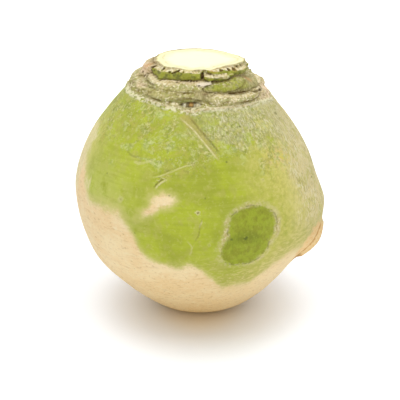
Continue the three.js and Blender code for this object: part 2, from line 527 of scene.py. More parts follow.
clear = times(clear, blend(rising(speckle, 0.46, 0.54), 0.8, 0.35))
coat(clear, tint(clouds, CLEAR_OLIVE, CLEAR_GREEN), 0.5)

# ---- The cream underpart ---------------------------------------------------------------
# The part that grew in the soil: peach and cream, with a dry matt skin, fine brown lines
# round it where it stretched, and short raised pores. It meets the green along a soft
# wandering edge, and shows through it in a few washed patches.

CREAM = (245, 223, 176)
CREAM_WARM = (241, 212, 160)
CREAM_DEEP = (238, 204, 142)
EDGE_WASH = (208, 200, 124)
SOIL_LINE = (176, 140, 84)
PORE = (248, 232, 192)
CREAM_PAINTED_LIGHT = (255, 232, 184)
SCALE_TAN = (220, 210, 148)
SCALE_PALE = (238, 224, 178)
FROST = (194, 188, 106)
FROST_PALE = (222, 210, 142)
FROST_SHADE = (176, 174, 82)

# Where green meets cream: azimuth, height.
CREAM_EDGE = [(-180, 88), (-170, 86.5), (-161, 81), (-155, 72.5), (-149, 66.5), (-129, 67), (-125, 63),
              (-121, 56), (-118, 49), (-114, 44.5), (-106, 42.5), (-100, 41.5), (-94, 43.5), (-90, 41),
              (-85, 36), (-78, 28.5), (-61, 29.5), (-56, 34), (-50, 39), (-42, 44), (-25, 44), (-10, 45),
              (10, 49), (30, 53), (52, 50), (66, 42), (80, 45), (96, 56), (112, 60), (126, 54), (140, 62),
              (160, 76)]
# Washed patches: azimuth, height, half width, half height, lean and how strong.
CREAM_PATCHES = [
    (-113, 69.8, 3.0, 1.8, 0.6, 0.9),
    (-110, 72.4, 3.6, 2.8, 0.7, 1.4),
    (-106.6, 75.2, 5.0, 3.4, 0.1, 1.7),
    (72, 66, 6.0, 3.0, 0.5, 0.8),
    (138, 84, 5.0, 2.6, -0.6, 0.6),
]

at_back = ease(0, 0.6, np.sin(azimuth))
cream_depth = climb_at(along_girth(CREAM_EDGE)) - climb + 5 * lumps(body, (11, 11, 20), 25) * at_back
frost_side = ease(50, 16, np.abs(turned_from(-50)))
fields["frost"] = frost_side * bell(0 * azimuth, cream_depth + 5.5, 1, 7.5)
for side, height, half_width, half_height, lean, strength in CREAM_PATCHES:
    across, up = from_place(side, height)
    inside = strength * (1 - np.hypot(across / half_width, (up - lean * across) / half_height)) * 3
    cream_depth = np.maximum(cream_depth, inside)
fields["cream"] = cream_depth

# Where the edge is softest: azimuth, half width in degrees, and how soft.
SOFT_EDGES = [(-170, 14, 0.7), (-30, 24, 0.8), (-130, 14, 0.45)]
fields["soft_edge"] = sum(soft * bell(turned_from(side), 0 * climb, wide, 1)
                          for side, wide, soft in SOFT_EDGES)
softness = blend(field("soft_edge"), 1.0, 3.4)
wandering = ragged(ragged(field("cream"), 6.0, 4, 14, stretch=(1.5, 1.5, 1), on=lie), 3.6, 1.5, 15, on=lie)
cream_mm = maths("DIVIDE", wandering, softness)
coat(times(rising(cream_mm, -5.0, 0.2), 0.6), EDGE_WASH, 0.6)
underpart = rising(cream_mm, -1.6, 2.4)
level(underpart, 0.3)
cream_clouds = mottle(11, 16, 0.4, 0.62, stretch=(1.6, 1.6, 1))
coat(underpart, tint(cream_clouds, CREAM_WARM, CREAM), 0.62)
low_down = times(underpart, rising(add_node("ShaderNodeSeparateXYZ", {0: lie}).outputs[2], 62, 18))
coat(times(low_down, 0.5), CREAM_DEEP, 0.66)
# Painted light: the cream is lighter in three broad places low down, most on the front right.
fields["painted_light"] = bells([(-34, 28, 26, 24, 1.4), (-138, 36, 15, 16, 0.7), (150, 40, 30, 20, 0.8)])
coat(times(underpart, field("painted_light"), 0.6), CREAM_PAINTED_LIGHT, 0.62)
fields["pale_left"] = bells([(-178, 76, 15, 14, 1.1), (-175, 92, 14, 9, 1.0), (-153, 74, 4, 5, 0.7),
                             (100, 48, 20, 9, 0.9)])
pale_left = rising(ragged(field("pale_left"), 1.4, 3.4, 87, stretch=(1, 1, 1.6), detail=5.0, on=lie),
                   0.28, 0.85)
coat(times(pale_left, 0.85), tint(rising(wrinkles, 0.4, 0.56), SCALE_TAN, SCALE_PALE), 0.75)
# Brown lines and pale ones round it, mottling, pores and a dry fine grain.
soil_lines = grain(1.1, 17, stretch=(4.5, 4.5, 1), detail=4.0, on=lie)
coat(times(underpart, rising(soil_lines, 0.56, 0.66), 0.2), SOIL_LINE, 0.8, -0.08)
coat(times(underpart, rising(soil_lines, 0.44, 0.36), 0.3), PORE, 0.7, 0.05)
mottling = grain(1.4, 18, stretch=(1.4, 1.4, 1), detail=4.0, roughness=0.65, on=lie)
coat(times(underpart, rising(mottling, 0.57, 0.68), 0.36), SOIL_LINE, 0.8)
coat(times(underpart, rising(mottling, 0.43, 0.36), 0.5), PORE, 0.7, 0.08)
pores = specks(5.5, 0.9, 0.24, 19, stretch=(1.9, 1.9, 1))
coat(times(underpart, pores, 0.5), PORE, 0.7, 0.12)
relief(times(underpart, grain(1.1, 20, detail=3.0), 0.25))

# Pale streaks over the green just above the edge, on the front right.
frost_streaks = grain(1.1, 21, stretch=(2.6, 2.6, 1), detail=4.0, on=lie)
coat(times(field("frost"), 0.5), FROST, 0.75)
coat(times(field("frost"), rising(frost_streaks, 0.51, 0.57), 0.65), FROST_PALE, 0.8, 0.08)
coat(times(field("frost"), rising(frost_streaks, 0.46, 0.41), 0.4), FROST_SHADE, 0.8)

# ---- Marks of growth -------------------------------------------------------------------
# A round lobed spot, darker and a little sunk, where the root lay against its neighbour;
# a long diagonal scar with a corky edge; a dent, a crescent nick, a scratch and pores.

SPOT_GREEN = (142, 148, 36)
SPOT_SHADE = (110, 122, 24)
SPOT_STREAK = (180, 184, 76)
SPOT_CORK = (222, 211, 164)
CRACK = (98, 98, 44)
SPOT_FRESH = (154, 166, 40)
SPOT_LIGHT = (166, 176, 56)
SPOT_CORK_SHADE = (190, 172, 112)
BAND_OLIVE = (166, 154, 70)
BAND_TAN = (190, 178, 100)
LINE_DARK = (112, 104, 44)
LINE_PALE = (226, 218, 160)
PORE_RING = (222, 214, 156)
PORE_DARK = (140, 132, 72)
FLECK_DARK = (74, 84, 34)

# The spot's two lobes: azimuth, height, half width, half height.
SPOT_LOBES = [(-65.9, 61.4, 12.6, 10.5), (-69.8, 51.5, 11.5, 8.7)]
SPOT_BLEND = 0.7
SPOT_SUNK = 0.45
SPOT_RIM = 0.3
# Further off than any place on the skin is, in mm.
FAR_OFF = 1e3


def spot_edge():
    """How far outside the spot each point is, in mm. Each lobe is an ellipse; the nearest
    one wins, and where two are nearly as near the corner between them is rounded."""
    edge = np.full_like(rise, FAR_OFF)
    for side, height, half_width, half_height in SPOT_LOBES:
        across, up = from_place(side, height)
        lobe = (np.hypot(across / half_width, up / half_height) - 1) * half_height
        close = np.clip(0.5 + (edge - lobe) / (2 * SPOT_BLEND), 0, 1)
        edge = edge * (1 - close) + lobe * close - SPOT_BLEND * close * (1 - close)
    return edge + 0.5 * lumps(body, 4, 33)


# The cork round the spot comes in places. Painted shade darkens the lower lobe along its
# top, and painted light makes the spot lighter in two places, most on its right.
edge = spot_edge()
fields["spot"] = edge
low_lobe = np.hypot(*from_place(-69.5, 51.8)) - 8.6
fields["rim_cork"] = bells([(-54, 60, 5, 8, 0.8), (-57, 44, 7, 3, 0.7), (-80, 61, 4, 9, 0.9),
                            (-70, 73, 8, 3, 0.7)])
fields["spot_shade"] = ease(2.4, -1.5, low_lobe) * bell(0 * azimuth, climb - climb_at(57.4), 1, 4)
fields["spot_light"] = bells([(-53, 61, 5, 8, 1), (-76, 64, 4, 5, 0.5)])
proud = proud - SPOT_SUNK * ease(0.6, -1.4, edge) + SPOT_RIM * np.exp(-((edge - 0.9) / 0.9) ** 2)

spot_mm = ragged(field("spot"), 1.8, 1.2, 22, on=lie)
spot = rising(spot_mm, 0.5, -0.3)
level(spot, 0.3)
coat(times(spot, 0.95), tint(mottle(3.5, 62, 0.42, 0.56), SPOT_GREEN, SPOT_FRESH), 0.5)
# Painted light on the spot, then painted shade along the top of the lower lobe.
coat(times(spot, field("spot_light"), 0.6), SPOT_LIGHT, 0.5)
coat(times(spot, field("spot_shade"), 0.55), SPOT_SHADE, 0.5)
streaks = grain(1.1, 23, stretch=(1, 1, 1.5), detail=5.0, roughness=0.7, on=lie)
coat(times(spot, rising(streaks, 0.46, 0.38), 0.34), SPOT_SHADE, 0.55, -0.06)
coat(times(spot, rising(streaks, 0.54, 0.64), 0.34), SPOT_STREAK, 0.55, 0.06)
rim_break = grain(2.4, 24, detail=3.0, on=lie)
halo = times(rising(spot_mm, 3.6, 0.9), rising(spot_mm, -0.2, 0.5))
coat(times(halo, blend(rising(rim_break, 0.42, 0.54), 0.1, 0.4)), SPOT_CORK, 0.8, 0.08)
rim_cork = times(rising(spot_mm, 2.8, 1.4), rising(spot_mm, -1.2, 0.0), field("rim_cork"))
coat(times(rim_cork, blend(rising(rim_break, 0.44, 0.54), 0.35, 1.0)),
     tint(mottle(1.2, 70, 0.4, 0.6), SPOT_CORK_SHADE, SPOT_CORK), 0.85, 0.2)
rim_mm = ragged(field("spot"), 1.0, 3.0, 81, on=lie)
rim_crack = times(rising(rim_mm, 1.0, 0.5), rising(rim_mm, -0.1, 0.3))
coat(times(rim_crack, mottle(5, 25, 0.48, 0.56, detail=3.0, on=lie), 0.45), CRACK, 0.8, -0.15)


def stroke(route):
    """Follows a smooth line through places on the skin. Returns how far each point is to
    the right of the line, going along it, how far it is from it, and its share of the way
    along: the nearest of the line's short straight pieces gives all three."""
    route = np.array(route, dtype=float)
    line = spline(route, np.linspace(0, len(route) - 1, 8 * len(route)))
    centre = len(line) // 2
    turned, up = from_place(line[centre, 0], line[centre, 1])
    scale = np.interp(line[centre, 1], rise[:, 0], girth.mean(axis=1))
    x = np.radians(line[:, 0] - line[centre, 0]) * scale
    y = climb_at(line[:, 1]) - climb_at(line[centre, 1])
    nearest = np.full_like(rise, FAR_OFF)
    across = np.full_like(rise, FAR_OFF)
    way = np.zeros_like(rise)
    for piece in range(len(line) - 1):
        step = np.array([x[piece + 1] - x[piece], y[piece + 1] - y[piece]])
        length = np.linalg.norm(step)
        from_x, from_y = turned - x[piece], up - y[piece]
        share = np.clip((from_x * step[0] + from_y * step[1]) / length ** 2, 0, 1)
        distance = np.hypot(from_x - share * step[0], from_y - share * step[1])
        beside = (from_x * step[1] - from_y * step[0]) / length
        wins = distance < nearest
        nearest = np.where(wins, distance, nearest)
        across = np.where(wins, np.sign(beside) * distance, across)
        way = np.where(wins, (piece + share) / (len(line) - 1), way)
    return across, nearest, way


# Thin lines on the skin, of pale cork and of dark cracks: each goes smoothly through its
# places of azimuth and height, and has a half width and a strength.
PALE_LINES = [
    ([(-103.4, 110.2), (-98.4, 107.6), (-94.2, 105.3), (-90.5, 102.3), (-86.3, 98.9), (-82, 95.4),
      (-78.2, 92.2)], 0.32, 0.9),
    ([(-114.6, 84.6), (-109.7, 85.7), (-104.1, 88.0), (-98.4, 90.3), (-92.1, 91.6)], 0.3, 0.5),
    ([(-111.2, 79.6), (-110.2, 81.3), (-108.2, 83.2), (-105.6, 84.6)], 0.3, 0.8),
    ([(-126.5, 90.3), (-122.3, 89.9), (-118, 91.0), (-113.9, 92.4)], 0.5, 0.4),
    ([(-88.9, 67.0), (-90.4, 63.5)], 0.3, 0.5),
    ([(-96, 57.5), (-93.5, 53.5), (-94.8, 49.0)], 0.3, 0.3),
    ([(-33.5, 84.5), (-31.5, 80), (-29, 75.5)], 0.35, 0.5),
    ([(88, 98), (96, 92), (101, 84)], 0.4, 0.6),
    ([(166, 104), (158, 99), (153, 92)], 0.4, 0.6),
]
DARK_LINES = [
    ([(-97.2, 111.2), (-92.6, 107.3), (-87.7, 103.3), (-84.9, 101.2), (-81.0, 97.7), (-76.6, 93.2)],
     0.35, 0.55),
    ([(-112.0, 80.4), (-110.9, 82.1), (-108.9, 83.9), (-106.4, 85.2)], 0.26, 0.7),
    ([(-132.6, 94.4), (-129.6, 92.9), (-125.4, 92.3), (-121.6, 93.4)], 0.35, 0.35),
    ([(-114.4, 85.5), (-109.7, 86.6), (-104.1, 88.9), (-98.4, 91.2)], 0.3, 0.3),
    ([(-88.6, 69.0), (-90.0, 64.5), (-90.6, 60.0), (-92.4, 56.5)], 0.3, 0.35),
    ([(89, 98.6), (97, 92.7), (102, 85)], 0.35, 0.6),
    ([(20, 62), (26, 59), (33, 57.4), (39, 57.6)], 0.3, 0.4),
]
LINE_REACH = 3.0


def thin_lines(lines):
    """Gathers thin lines into one value the shader can sharpen: x is how far across the
    nearest line a point is, in half widths, and y is that line's strength, which fades
    out along both ends and well away from the line."""
    gathered = np.zeros(rise.shape + (3,))
    closest = np.full_like(rise, FAR_OFF)
    for route, half_width, strength in lines:
        across, distance, way = stroke(route)
        ends = ease(0, 0.2, way) * ease(1, 0.8, way)
        share = strength * ends * ease(LINE_REACH, LINE_REACH / 2, distance)
        wins = distance < closest
        gathered[..., 0] = np.where(wins, across / half_width, gathered[..., 0])
        gathered[..., 1] = np.where(wins, share, gathered[..., 1])
        closest = np.where(wins, distance, closest)
    return gathered


def line_share(name, seed):
    """Draws the gathered lines: full within the half width and gone at twice it, and
    broken up a little by a fine grain."""
    parts = add_node("ShaderNodeSeparateXYZ", {0: vector_field(name)})
    thickness = rising(maths("ABSOLUTE", parts.outputs[0]), 2.0, 0.7)
    broken = blend(mottle(1.1, seed, 0.38, 0.55), 0.45, 1.0)
    return times(thickness, parts.outputs[1], broken)


fields["pale_line"] = thin_lines(PALE_LINES)
fields["dark_line"] = thin_lines(DARK_LINES)

# The diagonal scar's olive band, between its pale edge and its dark one, narrows downward.
BAND_WIDTH = 2.6
BAND_END_WIDTH = 0.5
BAND_SUNK = 0.35
_, band_distance, band_way = stroke([
    (-101, 111.2), (-95.4, 107.3), (-90.9, 104.2), (-87.3, 101.3), (-83.6, 97.9), (-79, 93.6)])
band_width = BAND_WIDTH * (1 - band_way) ** 1.3 + BAND_END_WIDTH
fields["band"] = ease(1.25, 0.6, band_distance / band_width) * ease(0, 0.06, band_way)
proud = proud - BAND_SUNK * np.exp(-(band_distance / band_width) ** 2) * ease(1, 0.9, band_way)
coat(times(field("band"), 0.7), tint(grain(1.4, 26), BAND_OLIVE, BAND_TAN), 0.6)
coat(line_share("dark_line", 27), LINE_DARK, 0.75, -0.2)
coat(line_share("pale_line", 28), LINE_PALE, 0.8, 0.2)

# Pores and flecks: azimuth, height, radius, strength. A pore is a pale ring with a dark
# middle; a fleck is one dark dot.
PORES = [(-91, 70.6, 1.0, 1.0), (-128, 72.9, 1.3, 0.45), (-86, 55, 0.8, 0.3), (36, 72, 1.0, 0.8),
         (118, 74, 1.1, 0.9), (-152, 100, 0.9, 0.5), (-58, 82, 0.8, 0.4), (170, 66, 1.0, 0.8),
         (76, 88, 0.9, 0.7), (-23, 105.2, 1.9, 1.0)]
FLECKS = [(-69.3, 56.6, 1.1, 0.8), (-75.9, 57.0, 0.6, 0.7), (-19.2, 74, 0.7, 0.9), (173.5, 97.9, 0.8, 0.9),
          (-104.1, 77.8, 0.5, 0.5), (-75.9, 91.7, 0.5, 0.6), (-98, 98, 0.5, 0.5), (-63, 105, 0.6, 0.5),
          (60, 92, 0.8, 0.8), (132, 70, 0.7, 0.8), (-140, 82, 0.6, 0.5), (-87.5, 77, 0.6, 0.5),
          (-120, 58, 0.6, 0.4)]


def dots(table):
    """Gathers dots into one value: x and y are how far right of and above the nearest dot
    a point is, in its radii, and z is the dot's strength, gone three radii away."""
    gathered = np.zeros(rise.shape + (3,))
    closest = np.full_like(rise, FAR_OFF)
    for side, height, radius, strength in table:
        across, up = from_place(side, height)
        distance = np.hypot(across, up)
        wins = distance < closest
        values = (across / radius, up / radius, strength * ease(4, 2.5, distance / radius))
        gathered = np.where(wins[..., None], np.stack(values, axis=2), gathered)
        closest = np.where(wins, distance, closest)
    return gathered


def dot_rings(name):
    """How many radii from the nearest dot a point is, with a ragged edge, and that dot's
    strength."""
    parts = add_node("ShaderNodeSeparateXYZ", {0: vector_field(name)})
    across, up, strength = parts.outputs
    squares = plus(times(across, across), times(up, up))
    return ragged(maths("SQRT", squares), 2.2, 1.0, 71), strength


fields["pore"] = dots(PORES)
fields["fleck"] = dots(FLECKS)
radii, strength = dot_rings("pore")
coat(times(rising(radii, 1.7, 0.7), strength, 0.75), PORE_RING, 0.75, 0.15)
coat(times(rising(radii, 0.7, 0.3), strength, 0.8), PORE_DARK, 0.8, -0.2)
radii, strength = dot_rings("fleck")
coat(times(rising(radii, 1.2, 0.5), strength, 0.8), FLECK_DARK, 0.7, -0.1)

# ---- The trimmed side root -------------------------------------------------------------
# Low on the right a side root was broken off. It left a mound with a flake of cork along
# its crest, tan on top and rusty along the torn edge, which drops away sharply below.

FLAKE = [(-10, 48), (-14.5, 45), (-19, 41.3), (-22.5, 38), (-26, 34.8)]
MOUND_HEIGHT = 3.0
TORN_SHARE = 0.55
FLAKE_HEIGHT = 1.3
GROOVE_DEPTH = 0.6
FLAKE_TAN = (246, 214, 156)
FLAKE_RUST = (204, 152, 82)
FLAKE_FIBRE = (234, 188, 118)
FLAKE_END = (168, 122, 60)

flake_across, flake_distance, flake_way = stroke(FLAKE)
mound = MOUND_HEIGHT * bell(*from_place(-16, 41.4), 11, 7.5)
torn = TORN_SHARE * ease(-0.2, -1.6, flake_across) * ease(9, 5, flake_distance)
lip = FLAKE_HEIGHT * bell(0 * rise, flake_distance, 1, 1.3) * ease(1, 0.9, flake_way)
groove = bell(0 * rise, flake_across - 3.4, 1, 0.8) * ease(8, 5, flake_distance) * ease(0.1, 0.4, flake_way)
proud = proud + mound * (1 - torn) + lip - GROOVE_DEPTH * groove
fields["flake"] = flake_across
fields["flake_near"] = bell(*from_place(-19, 41), 13, 10)
fields["flake_end"] = ease(0.88, 0.96, flake_way) * ease(3.4, 1.8, flake_distance)

flake_mm = ragged(field("flake"), 3.0, 2.4, 30, on=lie)
flake_near = rising(ragged(field("flake_near"), 0.6, 3, 88, detail=4.0), 0.18, 0.46)
coat(flake_near, FLAKE_TAN, 0.8, 0.1)
flake_fibres = mottle(1.2, 31, 0.5, 0.6, stretch=(3, 3, 1), on=lie)
coat(times(flake_near, flake_fibres, 0.45), FLAKE_FIBRE, 0.85, -0.1)
flake_edge = times(rising(flake_mm, 2.2, 2.9), rising(flake_mm, 4.4, 3.5))
coat(times(flake_near, flake_edge, 0.8), FLAKE_RUST, 0.8, -0.2)
coat(times(field("flake_end"), 0.85), FLAKE_END, 0.85)

# ---- The leaf scars --------------------------------------------------------------------
# Rings of old leaf-stalk bases round the neck, each a crescent that the knife or the weather
# left: a pale corky ledge on top, a green or grey face below, and a crease darkened with painted
# shade and dirt where it meets the next. They overlap like tiles, and the proudest one shows.

# Each tile's azimuth, reach each way in degrees, top, how tall it and its ledge are, how
# proud it stands, how blunt its left and right ends are, how much higher its right end
# is, how far both ends sag, how pale its ledge and how green its face is, and how deep
# the crease under it is.
LEAF_SCARS = [
    (-124, 39, 128.6, 5.9, 1.6, 2.2, 3, 8, 0.8, 0.8, 0.7, 1.3, 1.0),
    (-46, 37, 128.5, 4.4, 2.0, 2.0, 4, 5, -1.1, 0.0, 1.0, 1.0, 0.5),
    (-67, 20, 126.5, 3.6, 1.2, 3.0, 8, 1.6, -0.6, 0.0, 0.8, 1.3, 0.8),
    (34, 40, 128.4, 3.8, 1.4, 1.8, 5, 3, 0.3, 1.2, 0.9, 0.8, 0.6),
    (100, 30, 128.5, 5.8, 1.8, 2.2, 6, 3, -0.4, 0.4, 0.9, 1.1, 0.9),
    (150, 24, 127.8, 4.2, 1.6, 1.8, 2, 4, 0.6, 1.6, 0.7, 0.6, 0.5),
    (-176, 21, 128.4, 7.6, 2.6, 4.4, 2.4, 2.4, 0.0, 0.6, 0.2, 0.0, 0.7),
    (-121, 44, 124.3, 5.4, 2.4, 2.2, 4, 6, 0.2, 0.0, 0.35, 0.15, 0.1),
    (-50, 39, 124.2, 6.6, 2.0, 3.1, 1.5, 3, -0.6, 3.4, 0.3, 0.6, 1.0),
    (56, 33, 124.8, 7.2, 1.6, 3.1, 2, 4, 1.4, 2.2, 0.4, 0.5, 0.8),
    (110, 46, 122.8, 5.0, 1.5, 2.7, 4, 2, -1.6, 0.8, 0.7, 0.35, 0.7),
    (164, 30, 123.4, 7.4, 1.9, 2.8, 2, 3, 0.8, 2.8, 0.4, 0.1, 0.4),
    (-10, 26, 119.8, 6.0, 2.2, 1.8, 3, 3, 0.6, 0.8, 0.8, 0.0, 0.3),
    (-119, 44, 120.6, 5.2, 2.6, 1.7, 2, 3, -0.3, 0.4, 0.1, 0.3, 0.2),
    (-57, 30, 118.2, 4.8, 2.0, 2.2, 4, 3, -1.2, 0.4, 0.5, 0.3, 0.7),
    (92, 32, 118.8, 6.6, 1.6, 2.7, 2, 4, 1.0, 2.4, 0.5, 0.2, 0.6),
    (24, 40, 118.4, 4.4, 1.5, 2.1, 3, 2, -0.8, 1.2, 0.3, 0.2, 0.4),
    (142, 28, 117.8, 6.0, 1.4, 2.1, 2, 3, -1.0, 2.6, 0.5, 0.1, 0.5),
    (-104, 24, 115.6, 3.4, 0.9, 1.3, 3, 3, -0.4, 0.4, 0.1, 0.1, 0.1),
    (58, 24, 114.8, 4.4, 0.9, 1.6, 3, 3, 0.6, 1.6, 0.2, 0.1, 0.2),
    (178, 30, 115.6, 3.6, 1.0, 1.3, 3, 3, 0.2, 1.0, 0.2, 0.1, 0.2),
]
# How far each point is shaken round, in degrees, and up, in mm, before it is read.
rugged_turn = lumpy([(3.0, 6, 41), (1.6, 2.4, 42)])
rugged_rise = lumpy([(0.45, 5.5, 43), (0.30, 2.1, 44), (0.12, 1.0, 45)])


def leaf_scar(side, reach, top, tall, ledge, out, left_blunt, right_blunt, lean, sag):
    """One crescent tile. Down from its top it rises outward over the ledge's height, then
    bellies back in along 1 - t^2. The crescent thins towards its two ends along the root
    of 1 - x^b, later the higher that end's bluntness b, and its top line leans with x and
    sags with x^2. The place is first shaken by the rugged lumps. Returns how proud the
    tile is and how far down from its top."""
    across = (turned_from(side) + rugged_turn) / reach
    bluntness = np.where(across < 0, left_blunt, right_blunt)
    width = np.clip(1 - np.abs(across) ** bluntness, 0, 1) ** 0.5
    top_line = top + lean * across - sag * across ** 2
    down = (top_line - rise - rugged_rise) / np.maximum(width, 0.05)
    climb_out = ease(0, ledge, down)
    belly = np.clip((down - ledge) / (tall - ledge), 0, 1) ** 2
    shape = out * climb_out * (1 - belly) * np.sqrt(width)
    return np.where(width > 0, shape, 0), down


def stack_scars():
    """Lays the tiles over each other. Returns how proud the winner stands, how far it is
    pale ledge and how far green face, how low on its face each point is, and the crease:
    near 1 where two tiles meet, times the deeper undercut of the two."""
    first, second, ledges, greens, lows, cut, second_cut = np.zeros((7,) + rise.shape)
    for *shape, pale, green, undercut in LEAF_SCARS:
        out, down = leaf_scar(*shape)
        wins = out > first
        runs_up = ~wins & (out > second)
        second_cut = np.where(wins, cut, np.where(runs_up, undercut, second_cut))
        second = np.where(wins, first, np.maximum(second, out))
        tall, ledge = shape[3:5]
        ledges = np.where(wins, pale * ease(ledge * 1.15, ledge * 0.75, down), ledges)
        greens = np.where(wins, green, greens)
        lows = np.where(wins, (down - ledge) / (tall - ledge), lows)
        cut = np.where(wins, undercut, cut)
        first = np.where(wins, out, first)
    crease = np.exp(-((first - second) / 0.3) ** 2) * ease(0.25, 0.8, first)
    return first, ledges, greens, np.clip(lows, 0, 1), crease * np.maximum(cut, second_cut)


scar_out, ledges, greens, lows, crease = stack_scars()

# The frill: the ragged pale lip where the skin of the shoulders ends against the neck.
FRILL = [(-180, 115.4), (-143, 115.0), (-127, 114.5), (-113, 113.2), (-101, 112.3), (-93, 111.6),
         (-88, 112.8), (-76, 113.0), (-58, 112.5), (-36, 112.2), (-14, 110.6), (20, 111.6),
         (60, 110.8), (100, 112.6), (140, 112.0)]
FRILL_HEIGHT = 0.35
CREASE_DEPTH = 0.9
above_frill = climb - climb_at(along_girth(FRILL)) + lumpy([(0.5, 3.2, 46), (0.25, 1.3, 47)])
frill_lip = np.exp(-((above_frill + 0.5) / 0.7) ** 2)
on_neck = ease(-1.5, 3, above_frill)
top_fade = ease(HEIGHT, HEIGHT - 2.5, rise)
# The knife cut a face that is no circle: azimuth, and how far its rim stands in or out.
CUT_RIM = [(-180, 0.3), (-155, 1.4), (-133, 1.4), (-118, 0.5), (-90, -0.4), (-70, -0.8), (-36, -0.8),
           (-12, -0.2), (0, -0.6), (12, -2.0), (41, -3.4), (72, -1.6), (100, -0.5), (140, 0.4)]
rim_lumps = lumpy([(0.7, (7, 7, 20), 54), (0.4, (3, 3, 20), 55)]) + along_girth(CUT_RIM)
neck_lumps = lumpy([(0.5, (6, 6, 3), 3), (0.26, 1.8, 4), (0.08, 0.9, 5)])
proud = proud + (scar_out - CREASE_DEPTH * crease) * on_neck + FRILL_HEIGHT * frill_lip
proud = proud + neck_lumps * on_neck * (0.35 + 0.65 * top_fade)
proud = proud + rim_lumps * ease(HEIGHT - 5, HEIGHT - 1, rise)
proud = proud + lumpy([(1.1, 10, 49), (0.5, 3.6, 50)]) * on_neck

# Folds where the scars have grown over each other, brown with painted shade and dirt, and their
# worn pale edges, partly painted highlight: places of azimuth and height, half width and strength.
FOLDS = [
    ([(-72, 119.4), (-62, 119.0), (-52, 119.6), (-44, 121.0), (-37, 123.4)], 0.45, 0.6),
    ([(-63, 118.5), (-56, 117.8), (-48, 117.4), (-42, 117.6)], 0.5, 0.9),
    ([(-36, 116.8), (-28, 116.4), (-20, 116.8), (-15, 118.2)], 0.55, 0.9),
    ([(-62, 114.6), (-52, 113.9), (-42, 113.8), (-32, 114.6), (-25, 115.6)], 0.4, 0.8),
    ([(-164, 123.6), (-154, 122.0), (-144, 121.2), (-132, 120.9)], 0.45, 0.8),
    ([(-148, 118.6), (-138, 118.0), (-130, 118.4)], 0.4, 0.6),
    ([(-113, 116.0), (-106, 116.9), (-99, 117.2), (-92, 116.4), (-86, 115.2)], 0.55, 0.8),
    ([(-139, 117.2), (-130, 116.0), (-120, 115.3)], 0.5, 0.6),
    ([(-124, 119.2), (-112, 118.6), (-102, 118.8)], 0.4, 0.4),
    ([(22, 121), (36, 119.6), (50, 120.4)], 0.5, 0.8),
    ([(66, 116.4), (82, 115.2), (98, 116.2)], 0.5, 0.8),
    ([(122, 120), (136, 118.4), (152, 119.4)], 0.5, 0.8),
]
WORN_EDGES_AND_HIGHLIGHTS = [
    ([(-84, 126.2), (-74, 126.0), (-64, 125.2), (-54, 124.6)], 0.6, 0.8),
    ([(-158, 123.8), (-148, 122.8), (-138, 122.3), (-126, 122.1), (-112, 122.2)], 0.6, 1.0),
    ([(-113, 113.5), (-104, 112.5), (-96, 111.8), (-90, 112.6), (-80, 113.0), (-68, 112.9), (-56, 112.6),
      (-44, 112.3), (-34, 112.5)], 0.5, 0.95),
    ([(-140, 114.9), (-130, 114.7), (-120, 114.0), (-110, 113.1)], 0.5, 0.7),
    ([(-29, 116.2), (-21, 115.4), (-14, 113.2)], 1.1, 0.9),
    ([(-80, 118.6), (-70, 118.4), (-60, 117.2), (-50, 116.4)], 0.45, 0.6),
    ([(8, 119.6), (24, 118.4), (40, 118.6)], 0.5, 0.7),
    ([(70, 121.8), (86, 121.0), (102, 121.6)], 0.5, 0.7),
    ([(126, 116.0), (144, 114.8), (162, 115.6)], 0.5, 0.7),
]
FOLD_DEPTH = 0.7
WORN_HEIGHT = 0.4
fields["fold"] = thin_lines(FOLDS)
fields["worn"] = thin_lines(WORN_EDGES_AND_HIGHLIGHTS)
for name, out in (("fold", -FOLD_DEPTH), ("worn", WORN_HEIGHT)):
    proud = proud + out * np.exp(-fields[name][..., 0] ** 2) * fields[name][..., 1]

